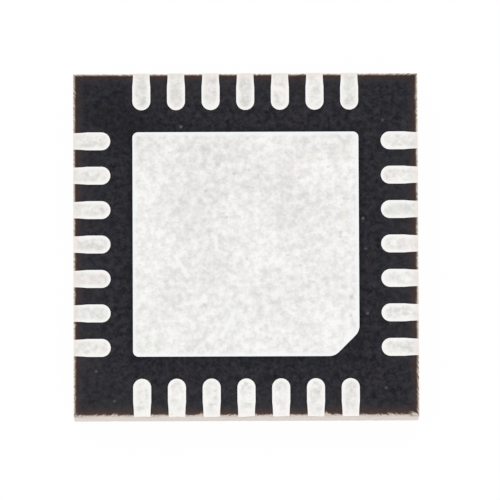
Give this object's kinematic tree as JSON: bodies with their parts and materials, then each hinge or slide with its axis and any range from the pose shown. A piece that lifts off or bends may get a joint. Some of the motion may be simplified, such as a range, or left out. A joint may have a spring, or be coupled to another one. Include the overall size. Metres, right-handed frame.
{
  "type": "quad flat no-lead integrated circuit",
  "caption": "Square leadless surface-mount integrated circuit, terminals up, with a chamfered thermal pad, a copper lead frame, a wire-bonded die and a sawn moulded body.",
  "frame": {"origin": "centre of the flat marked face, which the part rests on, at the bottom of its box", "axes": "+Z from the marked face to the terminals; +X and -Y towards the corner with the chamfer of the thermal pad, where terminal 1 is; terminals count clockwise seen from +Z, along -Y, -X, +Y and +X"},
  "size_m": [0.005, 0.005, 0.0008],
  "materials": {
    "mould_compound": "matte",
    "tin_plate": "satin",
    "silver_epoxy": "satin",
    "silicon": "polished",
    "gold_wire": "gloss"
  },
  "bodies": {
    "root": {"mould_body": "mould_compound", "die_paddle": "tin_plate", "die_attach": "silver_epoxy", "die": "silicon", "lead_01": "tin_plate", "lead_02": "tin_plate", "lead_03": "tin_plate", "lead_04": "tin_plate", "lead_05": "tin_plate", "lead_06": "tin_plate", "lead_07": "tin_plate", "lead_08": "tin_plate", "lead_09": "tin_plate", "lead_10": "tin_plate", "lead_11": "tin_plate", "lead_12": "tin_plate", "lead_13": "tin_plate", "lead_14": "tin_plate", "lead_15": "tin_plate", "lead_16": "tin_plate", "lead_17": "tin_plate", "lead_18": "tin_plate", "lead_19": "tin_plate", "lead_20": "tin_plate", "lead_21": "tin_plate", "lead_22": "tin_plate", "lead_23": "tin_plate", "lead_24": "tin_plate", "lead_25": "tin_plate", "lead_26": "tin_plate", "lead_27": "tin_plate", "lead_28": "tin_plate", "bond_wire_01": "gold_wire", "bond_wire_02": "gold_wire", "bond_wire_03": "gold_wire", "bond_wire_04": "gold_wire", "bond_wire_05": "gold_wire", "bond_wire_06": "gold_wire", "bond_wire_07": "gold_wire", "bond_wire_08": "gold_wire", "bond_wire_09": "gold_wire", "bond_wire_10": "gold_wire", "bond_wire_11": "gold_wire", "bond_wire_12": "gold_wire", "bond_wire_13": "gold_wire", "bond_wire_14": "gold_wire", "bond_wire_15": "gold_wire", "bond_wire_16": "gold_wire", "bond_wire_17": "gold_wire", "bond_wire_18": "gold_wire", "bond_wire_19": "gold_wire", "bond_wire_20": "gold_wire", "bond_wire_21": "gold_wire", "bond_wire_22": "gold_wire", "bond_wire_23": "gold_wire", "bond_wire_24": "gold_wire", "bond_wire_25": "gold_wire", "bond_wire_26": "gold_wire", "bond_wire_27": "gold_wire", "bond_wire_28": "gold_wire"}
  },
  "joints": []
}
